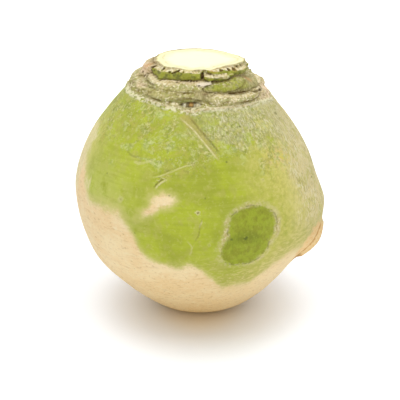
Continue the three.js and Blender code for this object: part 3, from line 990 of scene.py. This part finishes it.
# Holes and cracks in the cork: azimuth, height, half width, half height, depth.
HOLES = [
    (-138, 127.4, 0.7, 0.6, 0.8), (-127.5, 126.5, 0.8, 0.7, 0.9), (-121, 126.9, 0.5, 0.5, 0.6),
    (-117, 127.4, 1.0, 0.6, 0.9), (-109, 127.6, 0.5, 0.4, 0.5), (-62, 127.6, 1.3, 0.6, 0.7),
    (-51, 127.3, 0.9, 0.7, 1.0), (-43, 127.2, 1.4, 0.8, 0.8), (-34, 127.6, 0.7, 0.5, 0.8),
    (-24, 127.4, 0.8, 0.5, 0.6), (-14, 125.3, 1.1, 1.5, 1.5), (-87.4, 126.0, 0.8, 2.1, 1.6),
    (-107, 123.7, 0.6, 0.4, 0.7), (-103.5, 123.6, 0.5, 0.4, 0.7), (-100, 123.6, 0.6, 0.4, 0.8),
    (-96.5, 123.7, 0.5, 0.4, 0.7), (-93.5, 123.8, 0.5, 0.5, 0.8), (-134, 122.8, 0.6, 0.4, 0.5),
    (-115, 122.9, 0.7, 0.5, 0.5), (-91, 122.4, 0.6, 0.5, 0.8), (-163, 121.8, 1.2, 1.0, 1.2),
    (-168, 123.4, 0.6, 0.7, 0.6), (-156, 127.0, 0.9, 0.8, 0.8), (-152, 125.6, 0.6, 0.6, 0.6),
    (-24, 116.2, 1.6, 0.7, 0.9), (-19, 115.4, 0.8, 0.8, 0.8), (-29, 114.6, 0.6, 0.5, 0.5),
    (-12, 117.5, 0.7, 0.5, 0.5), (-6, 115.5, 0.6, 0.5, 0.5), (-20, 113.2, 0.6, 0.4, 0.4),
    (-148, 121.5, 0.7, 0.4, 0.5), (-142, 120.2, 0.5, 0.4, 0.4), (14, 127.4, 0.9, 0.6, 0.8),
    (30, 127.2, 1.2, 0.7, 0.9), (47, 127.6, 0.7, 0.5, 0.7), (78, 127.3, 0.9, 0.6, 0.9),
    (92, 127.5, 0.6, 0.6, 0.7), (105, 127.1, 1.1, 0.6, 0.8), (124, 127.4, 0.7, 0.6, 0.8),
    (150, 127.3, 0.8, 0.6, 0.8), (64, 122.6, 1.4, 0.7, 0.9), (90, 122.2, 0.7, 0.5, 0.6),
    (136, 121.6, 1.0, 0.6, 0.8), (5, 122.4, 1.0, 0.7, 0.8), (36, 116.4, 0.8, 0.5, 0.6),
    (112, 116.6, 1.0, 0.5, 0.7), (160, 118.6, 0.9, 0.6, 0.7),
]
hole = np.zeros_like(rise)
for side, height, half_width, half_height, depth in HOLES:
    across, up = from_place(side, height)
    near = np.hypot(across / half_width, up / half_height) + 0.25 * lumps(body, 0.8, 48)
    hollow = ease(1.3, 0.5, near)
    proud = proud - depth * hollow
    hole = np.maximum(hole, hollow)
CRACK_DEPTH = 0.7
_, crack_distance, crack_way = stroke([(-125.5, 126.0), (-121, 126.8), (-116, 127.6)])
crack_share = ease(0.55, 0.15, crack_distance) * ease(0, 0.1, crack_way)
proud = proud - CRACK_DEPTH * crack_share
hole = np.maximum(hole, crack_share)

# The eye: a lens-shaped pocket under a smooth lid, with a dry bud and its pale fibres.
EYE = (-97.5, 114.7)
POCKET_HALF_WIDTH = 6.4
POCKET_HALF_HEIGHT = 2.1
POCKET_DEPTH = 2.1
BUD_HEIGHT = 1.6
FIBRE_HEIGHT = 1.1
LID_HEIGHT = 0.7
SILL_HEIGHT = 0.35
eye_across, eye_up = from_place(*EYE)
eye_lens = (eye_across / POCKET_HALF_WIDTH) ** 2 + np.abs(eye_up - 0.02 * eye_across) / POCKET_HALF_HEIGHT
eye_open = np.clip(1 - eye_lens, 0, 1)
bud = bell(eye_across - 0.2, eye_up, 1.3, 1.4)
fibre_left = bell(eye_across + 2.7, eye_up + 0.2, 0.9, 1.0)
fibre_right = bell(eye_across - 3.0, eye_up + 0.2, 1.3, 0.9)
lid = bell(eye_across + 1.5, eye_up - 2.1, 7.5, 1.1)
sill = bell(eye_across - 0.5, eye_up + 1.9, 6.0, 0.8)
proud = proud - POCKET_DEPTH * ease(0, 0.55, eye_open) + BUD_HEIGHT * bud
proud = proud + FIBRE_HEIGHT * (fibre_left + fibre_right) + LID_HEIGHT * lid + SILL_HEIGHT * sill

# The flap: a pale scrap of peeled cork at the right end of the left-hand ledge.
FLAP_HALF_WIDTH = 3.2
FLAP_HALF_HEIGHT = 1.0
FLAP_HEIGHT = 0.8
flap_across, flap_up = from_place(-85.5, 122.9)
flap_square = np.maximum(np.abs(flap_across + 0.3 * flap_up) / FLAP_HALF_WIDTH,
                         np.abs(flap_up - 0.1 * flap_across) / FLAP_HALF_HEIGHT)
flap = ease(1.12, 0.9, flap_square)
proud = proud + flap * (FLAP_HEIGHT + 0.15 * flap_across)

# The dry patch: brown fibres that fan down from the crescents to the eye's right corner.
patch_across, patch_up = from_place(-86, 118.4)
dry_patch = ease(1.25, 0.7, np.hypot((patch_across - 0.35 * patch_up) / 4.6, patch_up / 3.6))
dark_core = bell(patch_across - 0.4, patch_up - 0.8, 1.8, 0.6)


def smoothed(values, reach):
    """The mean over a square of points, `reach` columns and rows each way."""
    columns = np.mean([np.roll(values, shift, axis=1) for shift in range(-reach, reach + 1)], axis=0)
    padded = np.pad(columns, ((reach, reach), (0, 0)), mode="edge")
    return np.mean([padded[row:row + len(values)] for row in range(2 * reach + 1)], axis=0)


fields["neck"] = above_frill
fields["pink"] = bells([(-172, 125.2, 10, 4, 1.2), (-13, 114.6, 9, 5, 1.2), (-152, 119.6, 4, 1.6, 0.8),
                        (-100, 123.4, 9, 1, 0.8), (120, 120, 8, 3, 0.6)])
fields["bright"] = bells([(-72, 120.6, 6, 1.3, 1), (-58, 120.6, 5, 1.0, 0.7), (-45, 122.6, 2.4, 2.2, 0.8),
                          (-20, 126.2, 6, 0.9, 0.7), (-52, 126.6, 6, 0.7, 0.8)])
fields["olive"] = bells([(-124, 118.4, 12, 2.2, 0.8), (-108, 120.6, 7, 1.2, 0.6), (30, 120, 10, 3, 0.7)])
fields["greyed"] = bells([(-26, 120.6, 7, 4, 1.2), (-44, 118.4, 6, 1.2, 1), (-60, 118.6, 4, 0.9, 0.8),
                          (70, 122, 8, 3, 0.8)])
fields["ledge"] = ledges * (1 - hole)
fields["scar_green"] = greens * ease(0.3, 0.9, scar_out)
fields["low_face"] = lows
# Where painted shade and dirt darken the neck: the creases, and hollows below the smoothed skin.
fields["crease"] = np.clip(0.7 * crease + ease(0.1, 1.0, smoothed(proud, 4) - proud), 0, 1)
fields["hole"] = hole
fields["eye"] = ease(0.05, 0.4, eye_open)
fields["bud"] = bud
fields["eye_fibre"] = np.clip(1.2 * (fibre_left + fibre_right), 0, 1)
fields["lid"] = np.clip(lid * 1.2, 0, 1)
fields["flap"] = flap
fields["dry"] = dry_patch
fields["dry_core"] = dark_core
fields["rust"] = bells([(-168, 126.2, 1.8, 1.4, 1.4), (-27.5, 121.7, 2.0, 1.5, 1.1),
                        (-74, 127.8, 1.6, 0.6, 0.7), (-43, 127.4, 1.8, 1.0, 0.8),
                        (-125, 122.6, 2.2, 0.8, 0.7), (96, 124, 2.0, 1.4, 0.8)])

# The neck's colours: tan and grey-green cork all over, then each tile's own.
NECK_TAN = (199, 188, 134)
NECK_GREY = (170, 168, 108)
NECK_BROWN = (150, 134, 82)
NECK_OLIVE = (170, 166, 84)
NECK_PINK = (222, 200, 160)
LEDGE_PALE = (242, 232, 194)
LEDGE_TAN = (212, 192, 138)
STALK_GREEN = (154, 158, 40)
STALK_SHADE = (100, 104, 20)
STALK_PALE = (196, 192, 84)
RUST = (196, 144, 84)
DEEP_SHADE_AND_DIRT = (96, 74, 40)
BUD_TAN = (200, 160, 92)
FIBRE_WHITE = (240, 234, 200)
FLAP_PINK = (238, 224, 200)
OLIVE_SHADE = (150, 146, 62)
OLIVE_CORK = (188, 180, 106)
PINK_SHADE = (200, 176, 130)
PINK_CORK = (246, 220, 188)
BRIGHT_SHADE = (140, 144, 44)
BRIGHT_GREEN = (172, 174, 70)
GREYED_SHADE = (138, 130, 78)
GREYED_CORK = (190, 180, 128)
DRY_SHADE = (156, 144, 92)
DRY_TAN = (200, 188, 140)
DRY_CORE = (112, 86, 48)
LID_GREEN_AND_SHADE = (118, 124, 52)
FRILL_PALE = (242, 236, 194)
FOLD_SHADE_AND_DIRT = (114, 98, 50)
CREASE_SHADE_AND_DIRT = (136, 116, 62)
POCKET_SHADE = (96, 82, 46)
FIBRE_SHADE = (176, 158, 110)
BUD_BROWN = (160, 118, 66)

neck_mm = ragged(field("neck"), 1.6, 1.2, 32)
neck = rising(neck_mm, -0.3, 0.9)
fibres = grain(0.9, 33, stretch=(1, 1, 3), detail=3.0, on=lie)
neck_cork = tint(mottle(3, 34, 0.45, 0.57, stretch=(2, 2, 1), detail=4.0, on=lie), NECK_GREY, NECK_TAN)
brown_flecks = mottle(1.6, 35, 0.54, 0.58, stretch=(1.8, 1.8, 1), detail=4.0, on=lie)
pale_flecks = mottle(1.2, 72, 0.55, 0.59, stretch=(1.8, 1.8, 1), detail=3.0, on=lie)
for patches, strength, colour in (
        (mottle(4, 80, 0.5, 0.6, detail=3.0), 0.6, NECK_OLIVE),
        (mottle(3.4, 36, 0.52, 0.6, detail=4.0), 0.45, NECK_PINK),
        (brown_flecks, 0.9, NECK_BROWN),
        (pale_flecks, 0.85, LEDGE_PALE)):
    neck_cork = tint(times(patches, strength), neck_cork, colour)
level(neck)
coat(neck, neck_cork, 0.8)
coat(times(neck, field("olive"), 0.7), tint(mottle(1.3, 89, 0.42, 0.56), OLIVE_SHADE, OLIVE_CORK), 0.7)
pink_cork = tint(mottle(1.2, 65, 0.42, 0.52, detail=3.0), PINK_SHADE, PINK_CORK)
coat(times(neck, field("pink"), 0.85), pink_cork, 0.8)

# The tiles' green faces, darker low down with painted shade where they belly in, and their pale ledges.
green_face = tint(mottle(2.4, 37, 0.38, 0.54, detail=4.0), STALK_SHADE, STALK_GREEN)
green_face = tint(times(mottle(1.4, 75, 0.54, 0.64, stretch=(2, 2, 1)), 0.3), green_face, STALK_PALE)
# Painted shade: each face darkens towards its foot.
green_face = tint(times(rising(field("low_face"), 0.35, 0.85), 0.6), green_face, STALK_SHADE)
green_share = rising(ragged(field("scar_green"), 1.2, 3, 38, detail=4.0), 0.36, 0.72)
coat(times(neck, green_share, 0.9), green_face, 0.55)
bright_face = tint(rising(fibres, 0.4, 0.6), BRIGHT_SHADE, BRIGHT_GREEN)
coat(times(neck, field("bright"), 0.8), bright_face, 0.6)
greyed_face = tint(rising(fibres, 0.42, 0.54), GREYED_SHADE, GREYED_CORK)
coat(times(neck, field("greyed"), 0.9), greyed_face, 0.75)
ledge_cork = tint(mottle(1.3, 39, 0.45, 0.56, detail=4.0), LEDGE_TAN, LEDGE_PALE)
ledge_share = rising(ragged(field("ledge"), 1.4, 1.3, 40, detail=3.0), 0.32, 0.62)
coat(times(neck, ledge_share, 0.9), ledge_cork, 0.85, 0.1)
relief(times(neck, fibres, blend(green_share, 0.4, 0.12)))
relief(times(neck, grain(1.3, 41, detail=4.0), blend(green_share, 0.5, 0.15)))

# The dry patch, the rust, the peeled flap, the lid with painted shade, the frill, the worn
# edges, partly painted highlight, and the folds, brown with painted shade and dirt.
fan = grain(1.1, 73, stretch=(1, 1, 2.6), detail=4.0, on=lie)
coat(times(field("dry"), 0.8), tint(rising(fan, 0.42, 0.58), DRY_SHADE, DRY_TAN), 0.85)
coat(times(field("dry_core"), 0.8), DRY_CORE, 0.85)
coat(times(field("rust"), mottle(0.8, 42, 0.36, 0.56, detail=3.0), 0.85), RUST, 0.75)
coat(times(field("flap"), 0.85), FLAP_PINK, 0.8)
# The lid: its own dark green, with painted shade over the pocket.
coat(times(field("lid"), neck, 0.75), LID_GREEN_AND_SHADE, 0.6)
frill_line = times(rising(neck_mm, -2.4, -0.9), rising(neck_mm, 1.2, 0.2))
frill_break = mottle(1.6, 43, 0.42, 0.5, detail=3.0)
coat(times(frill_line, frill_break, 0.95), FRILL_PALE, 0.85, 0.25)
# Worn edges: pale cork, partly painted highlight. Folds: painted shade and dirt.
coat(line_share("worn", 77), tint(mottle(1.2, 78, 0.4, 0.6), LEDGE_TAN, LEDGE_PALE), 0.85, 0.1)
coat(times(line_share("fold", 79), 0.85), FOLD_SHADE_AND_DIRT, 0.85, -0.15)

# The creases and the holes, brown with painted shade and dirt; the pocket, dark with
# painted shade, with its fibres and its bud.
crease_shade_and_dirt = times(neck, field("crease"))
coat(times(crease_shade_and_dirt, blend(mottle(1.2, 44, 0.36, 0.6, detail=3.0), 0.3, 0.9)), CREASE_SHADE_AND_DIRT, 0.85)
coat(times(rising(crease_shade_and_dirt, 0.7, 1.1), mottle(1.6, 64, 0.38, 0.56, detail=3.0)), DEEP_SHADE_AND_DIRT, 0.85)
# Painted shade in the sunk pocket.
coat(times(field("eye"), 0.9), POCKET_SHADE, 0.8)
coat(times(field("eye_fibre"), 0.95), tint(rising(fibres, 0.4, 0.5), FIBRE_SHADE, FIBRE_WHITE), 0.85)
bud_share = rising(ragged(field("bud"), 0.8, 0.9, 82), 0.25, 0.8)
coat(bud_share, tint(mottle(0.8, 83, 0.42, 0.58), BUD_BROWN, BUD_TAN), 0.8)
coat(times(neck, rising(field("hole"), 0.3, 0.9), 0.9), DEEP_SHADE_AND_DIRT, 0.9)

# ---- The cut crown and the trimmed underside -------------------------------------------
# One knife stroke took the leaves off: a flat face of wet pale flesh, yellower in a ring
# under the skin, with faint lines from the blade. Underneath, the taproot was trimmed to
# a flat disc that the root rests on, dry and a little sunk inside its brown edge.

CROWN_ROWS = 12
BASE_ROWS = 8
BLADE_WAVE = 0.12
BASE_HOLLOW = 0.7
# Where bark shows inside the cut rim: azimuth, half width in degrees, how thick.
BARK = [(-176, 26, 1.1), (96, 50, 0.7), (-42, 26, 1.5)]
FLESH = (252, 250, 217)
FLESH_RING = (248, 243, 190)
FLESH_EDGE = (220, 208, 138)
TAPROOT = (226, 202, 154)
TAPROOT_EDGE = (178, 142, 90)


def outward(grid):
    """The unit direction that faces out of the skin: across the rows and the columns."""
    round_it = np.roll(grid, -1, axis=1) - np.roll(grid, 1, axis=1)
    up_it = np.gradient(grid, axis=0)
    normal = np.cross(round_it, up_it)
    return normal / np.linalg.norm(normal, axis=2, keepdims=True)


def shape_skin():
    """Moves each point of the body out by how proud it is: along the skin's own facing
    on the body, turning level towards the crown, and not at all at the resting rim."""
    sideways = np.stack([np.cos(azimuth) + 0 * rise, np.sin(azimuth) + 0 * rise, 0 * rise], axis=2)
    share = ease(NECK_FOOT, NECK_FOOT + 10, rise)[:, :, None]
    facing = outward(body) * (1 - share) + sideways * share
    facing = facing / np.linalg.norm(facing, axis=2, keepdims=True)
    rim = ease(0, 2, rise)
    return body + facing * (proud * rim)[:, :, None]


def disc(rim_ring, shares, middle_height):
    """Rings from a rim in to the middle: each is the rim drawn in to a share of itself."""
    middle = np.array([0, 0, middle_height])
    return middle + (rim_ring[None] - middle) * shares[:, None, None]


sleeve = shape_skin()
crown_shares = 1 - (np.arange(1, CROWN_ROWS + 1) / (CROWN_ROWS + 1)) ** 1.5
crown = disc(sleeve[-1], crown_shares, HEIGHT)
crown[:, :, 2] += BLADE_WAVE * (lumps(crown, (14, 5, 5), 51) - 1)
base_shares = np.linspace(1, 0, BASE_ROWS + 1)[1:-1]
base = disc(sleeve[0], base_shares, 0)
base[:, :, 2] += BASE_HOLLOW * ease(0.8, 0.5, base_shares)[:, None] * (1 + 0.3 * lumps(base, 2.5, 52))
grid = np.concatenate([base[::-1], sleeve, crown])

# How far in each point of the cut face is from its bark, and of the taproot's from its rim.
crown_reach = np.linalg.norm(sleeve[-1][:, :2], axis=1)
bark = sum(thick * bell(turned_from(side), 0 * climb, wide, 1)[-1] for side, wide, thick in BARK)
bark = bark + 0.4 * lumps(sleeve[-1], 5, 53)
cut_in = np.concatenate([np.minimum(climb - climb[-1], 0), (1 - crown_shares[:, None]) * crown_reach]) - bark
fields["cut"] = np.concatenate([np.broadcast_to(cut_in[:1], base.shape[:2]), cut_in])
base_in = np.concatenate([RESTING_RADIUS * (1 - base_shares[::-1, None]) + 0 * azimuth, -climb])
fields["trim"] = np.concatenate([base_in, np.broadcast_to(base_in[-1:], crown.shape[:2])])

cut_mm = ragged(field("cut"), 0.8, 1.5, 50)
ring_line = times(rising(cut_mm, 2.4, 3.0), rising(cut_mm, 4.0, 3.3))
flesh = tint(rising(ragged(cut_mm, 5.0, 6, 84), 7.9, 2.7), FLESH, FLESH_RING)
flesh = tint(times(ring_line, mottle(4, 74, 0.44, 0.56), 0.6), flesh, FLESH_EDGE)
flesh = tint(rising(cut_mm, 0.9, 0.2), flesh, FLESH_EDGE)
blade_lines = mottle(0.7, 51, 0.5, 0.7, stretch=(16, 1, 1), detail=3.0)
flesh = tint(times(blade_lines, 0.15), flesh, FLESH_RING)
on_cut = rising(field("cut"), -0.25, 0.05)
level(on_cut)
coat(on_cut, flesh, 0.38)
relief(times(rising(field("cut"), 0, 0.5), blade_lines, 0.08))
trim_mm = ragged(field("trim"), 4.0, 3.0, 52, detail=4.0)
taproot = tint(mottle(1.8, 53, 0.46, 0.62, detail=5.0), TAPROOT, TAPROOT_EDGE)
coat(rising(trim_mm, -0.6, 0.4), tint(rising(trim_mm, 1.4, 3.2), TAPROOT_EDGE, taproot), 0.85)
relief(times(rising(trim_mm, 0, 1), grain(0.8, 54, detail=4.0), 0.4))

# ---- The finished skin -----------------------------------------------------------------
# The grid becomes one closed mesh with its two middles, carries its values, and wears the
# coats laid above. Wax and dry cork both shine little.

WAXY_SHINE = 0.25


def skin_mesh(name, grid, middle_low, middle_high):
    """Joins neighbouring rings of the grid with quads and closes both ends with a fan."""
    rows, columns, _ = grid.shape
    count = rows * columns
    row, column = np.mgrid[0:rows - 1, 0:columns]
    after = (column + 1) % columns
    corners = [row * columns + column, row * columns + after,
               (row + 1) * columns + after, (row + 1) * columns + column]
    quads = np.stack(corners, axis=2).reshape(-1, 4)
    around = np.arange(columns)
    following = (around + 1) % columns
    low_fan = np.stack([np.full(columns, count), following, around], axis=1)
    last = count - columns
    high_fan = np.stack([np.full(columns, count + 1), last + around, last + following], axis=1)
    points = np.concatenate([grid.reshape(-1, 3), [middle_low, middle_high]]) * MM
    mesh = bpy.data.meshes.new(name)
    mesh.vertices.add(len(points))
    mesh.vertices.foreach_set("co", points.astype(np.float32).ravel())
    loops = np.concatenate([quads.ravel(), low_fan.ravel(), high_fan.ravel()])
    sizes = np.concatenate([np.full(len(quads), 4), np.full(2 * columns, 3)])
    starts = np.concatenate([[0], np.cumsum(sizes)[:-1]])
    mesh.loops.add(len(loops))
    mesh.loops.foreach_set("vertex_index", loops.astype(np.int32))
    mesh.polygons.add(len(sizes))
    mesh.polygons.foreach_set("loop_start", starts.astype(np.int32))
    mesh.update(calc_edges=True)
    mesh.validate()
    mesh.polygons.foreach_set("use_smooth", np.ones(len(sizes), dtype=bool))
    return mesh


def carry(mesh, name, values):
    """Puts a value on every point: those given for the side alone are repeated from its
    rims over the base and the crown, and the two middles take the mean of their ring."""
    if len(values) == SIDE_ROWS:
        around = ((len(base), len(crown)),) + ((0, 0),) * (values.ndim - 1)
        values = np.pad(values, around, mode="edge")
    flat = values.reshape((-1,) + values.shape[2:])
    flat = np.concatenate([flat, values[:1].mean(axis=1), values[-1:].mean(axis=1)])
    kind, slot = ("FLOAT_VECTOR", "vector") if flat.ndim == 2 else ("FLOAT", "value")
    mesh.attributes.new(name, kind, "POINT").data.foreach_set(slot, flat.astype(np.float32).ravel())


mesh = skin_mesh("rutabaga_skin", grid, (0, 0, BASE_HOLLOW), (0, 0, HEIGHT - BLADE_WAVE))
for name, values in fields.items():
    carry(mesh, name, values)
bump = add_node("ShaderNodeBump", {"Height": look["raised"], "Distance": MM})
finish = {"Base Color": look["colour"], "Roughness": look["roughness"], "Normal": bump.outputs["Normal"]}
for name, worn in finish.items():
    skin.node_tree.links.new(worn, skin_shader.inputs[name])
skin_shader.inputs["Specular IOR Level"].default_value = WAXY_SHINE
mesh.materials.append(skin)

root = bpy.data.objects.new("rutabaga_skin", mesh)
bpy.context.collection.objects.link(root)
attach(root, "root")
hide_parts("rutabaga")

# ---- The table and the light ---------------------------------------------------------
# A plain white table under a broad soft light from above, with white all round and a
# little fill from the front. Away from the root the table is as white as the surround. A
# glow seen only directly lifts it, weakest near the root, which paints the shadow's edge,
# and near the root the table is tinted warm, a painted shadow tint.

FLOOR_SIZE = 6
# Painted shadow tint: the table's own colour is warm near the root.
FLOOR_SHADOW_TINT = (0.88, 0.78, 0.60, 1)
FLOOR_WHITE = (0.90, 0.90, 0.90, 1)
WARM_FROM = 8 * MM
WARM_TO = 27 * MM
# A glow seen only directly, weakest near the root, so that it paints the shadow's edge.
LIFT = (0.80, 0.88, 1.0, 1)
LIFT_STRENGTH = 0.34
LIFT_FROM = 18 * MM
LIFT_TO = 60 * MM
SHADOW_FORWARD = 5 * MM
SHADOW_DRAWN_OUT = 0.62
FAR_WHITE = (1, 1, 1, 1)
FAR_FROM = 0.1
FAR_TO = 0.3
SURROUND = 0.68
OVERHEAD_PLACE = (0, 0, 0.9)
OVERHEAD_SIZE = 0.7
OVERHEAD_POWER = 3.6
FRONT_PLACE = (0, -0.8, 0.12)
FRONT_SIZE = 0.8
FRONT_POWER = 1.4


def seen_directly(tree):
    """1 for what the eye or a shine sees directly, and 0 for light that bounces on."""
    path = add_node("ShaderNodeLightPath", {}, tree).outputs
    seen = {0: path["Is Camera Ray"], 1: path["Is Glossy Ray"]}
    return add_node("ShaderNodeMath", seen, tree, operation="MAXIMUM").outputs[0]


def lay_floor():
    """A wide white sheet at the root's resting height, far larger than the view. Three
    smooth ramps rise with the distance from the root, which is shortened to the front and
    the back: along them the sheet is lifted by a glow seen only directly, goes from a warm
    painted shadow tint to white, and goes plain. The lift is weakest near the root, so it
    paints the shadow's soft edge."""
    half = FLOOR_SIZE / 2
    mesh = bpy.data.meshes.new("floor")
    corners = [(-half, -half, 0), (half, -half, 0), (half, half, 0), (-half, half, 0)]
    mesh.from_pydata(corners, [], [(0, 1, 2, 3)])
    floor = bpy.data.objects.new("floor", mesh)
    bpy.context.collection.objects.link(floor)
    white = bpy.data.materials.new("white_table")
    white.use_nodes = True
    tree = white.node_tree
    shader = tree.nodes["Principled BSDF"]
    shader.inputs["Roughness"].default_value = 0.9

    place = add_node("ShaderNodeTexCoord", {}, tree).outputs["Object"]
    drawn = {0: place, 1: (1, SHADOW_DRAWN_OUT, 1), 2: (0, SHADOW_DRAWN_OUT * SHADOW_FORWARD, 0)}
    drawn_out = add_node("ShaderNodeVectorMath", drawn, tree, operation="MULTIPLY_ADD").outputs[0]
    distance = add_node("ShaderNodeVectorMath", {0: drawn_out}, tree, operation="LENGTH").outputs["Value"]
    ramps = []
    for start, end, top in (
            (LIFT_FROM, LIFT_TO, LIFT_STRENGTH), (WARM_FROM, WARM_TO, 1), (FAR_FROM, FAR_TO, 1)):
        limits = {"Value": distance, "From Min": start, "From Max": end, "To Max": top}
        ramp = add_node("ShaderNodeMapRange", limits, tree, interpolation_type="SMOOTHSTEP")
        ramps.append(ramp.outputs["Result"])
    lifted, whitened, plain = ramps
    strongest = add_node("ShaderNodeMath", {0: lifted, 1: plain}, tree, operation="MAXIMUM").outputs[0]
    seen = {0: seen_directly(tree), 1: strongest}
    tree.links.new(add_node("ShaderNodeMath", seen, tree, operation="MULTIPLY").outputs[0],
                   shader.inputs["Emission Strength"])
    for ramp, near, far, name in ((whitened, FLOOR_SHADOW_TINT, FLOOR_WHITE, "Base Color"),
                                  (plain, LIFT, FAR_WHITE, "Emission Color")):
        paper = add_node("ShaderNodeMix", {0: ramp, 6: near, 7: far}, tree, data_type="RGBA")
        tree.links.new(paper.outputs[2], shader.inputs[name])
    mesh.materials.append(white)


def hang_lamp(name, place, size, power):
    """A square soft lamp that faces the root's middle."""
    data = bpy.data.lights.new(name, "AREA")
    data.size = size
    data.energy = power
    lamp = bpy.data.objects.new(name, data)
    lamp.location = place
    aim = np.array([0, 0, AIM_HEIGHT]) - np.array(place)
    lamp.rotation_euler = (math.atan2(math.hypot(aim[0], aim[1]), -aim[2]), 0, math.atan2(-aim[0], aim[1]))
    bpy.context.collection.objects.link(lamp)


def light_world(strength):
    """White all round: as bright as white paper to the eye, and softer as a lamp."""
    world = bpy.data.worlds.new("surround")
    world.use_nodes = True
    tree = world.node_tree
    background = tree.nodes["Background"]
    limits = {"Value": seen_directly(tree), "To Min": strength, "To Max": 1}
    glow = add_node("ShaderNodeMapRange", limits, tree)
    tree.links.new(glow.outputs["Result"], background.inputs["Strength"])
    background.inputs["Color"].default_value = (1, 1, 1, 1)
    bpy.context.scene.world = world


lay_floor()
hang_lamp("overhead", OVERHEAD_PLACE, OVERHEAD_SIZE, OVERHEAD_POWER)
hang_lamp("front", FRONT_PLACE, FRONT_SIZE, FRONT_POWER)
light_world(SURROUND)
bpy.context.scene.view_settings.view_transform = "Standard"
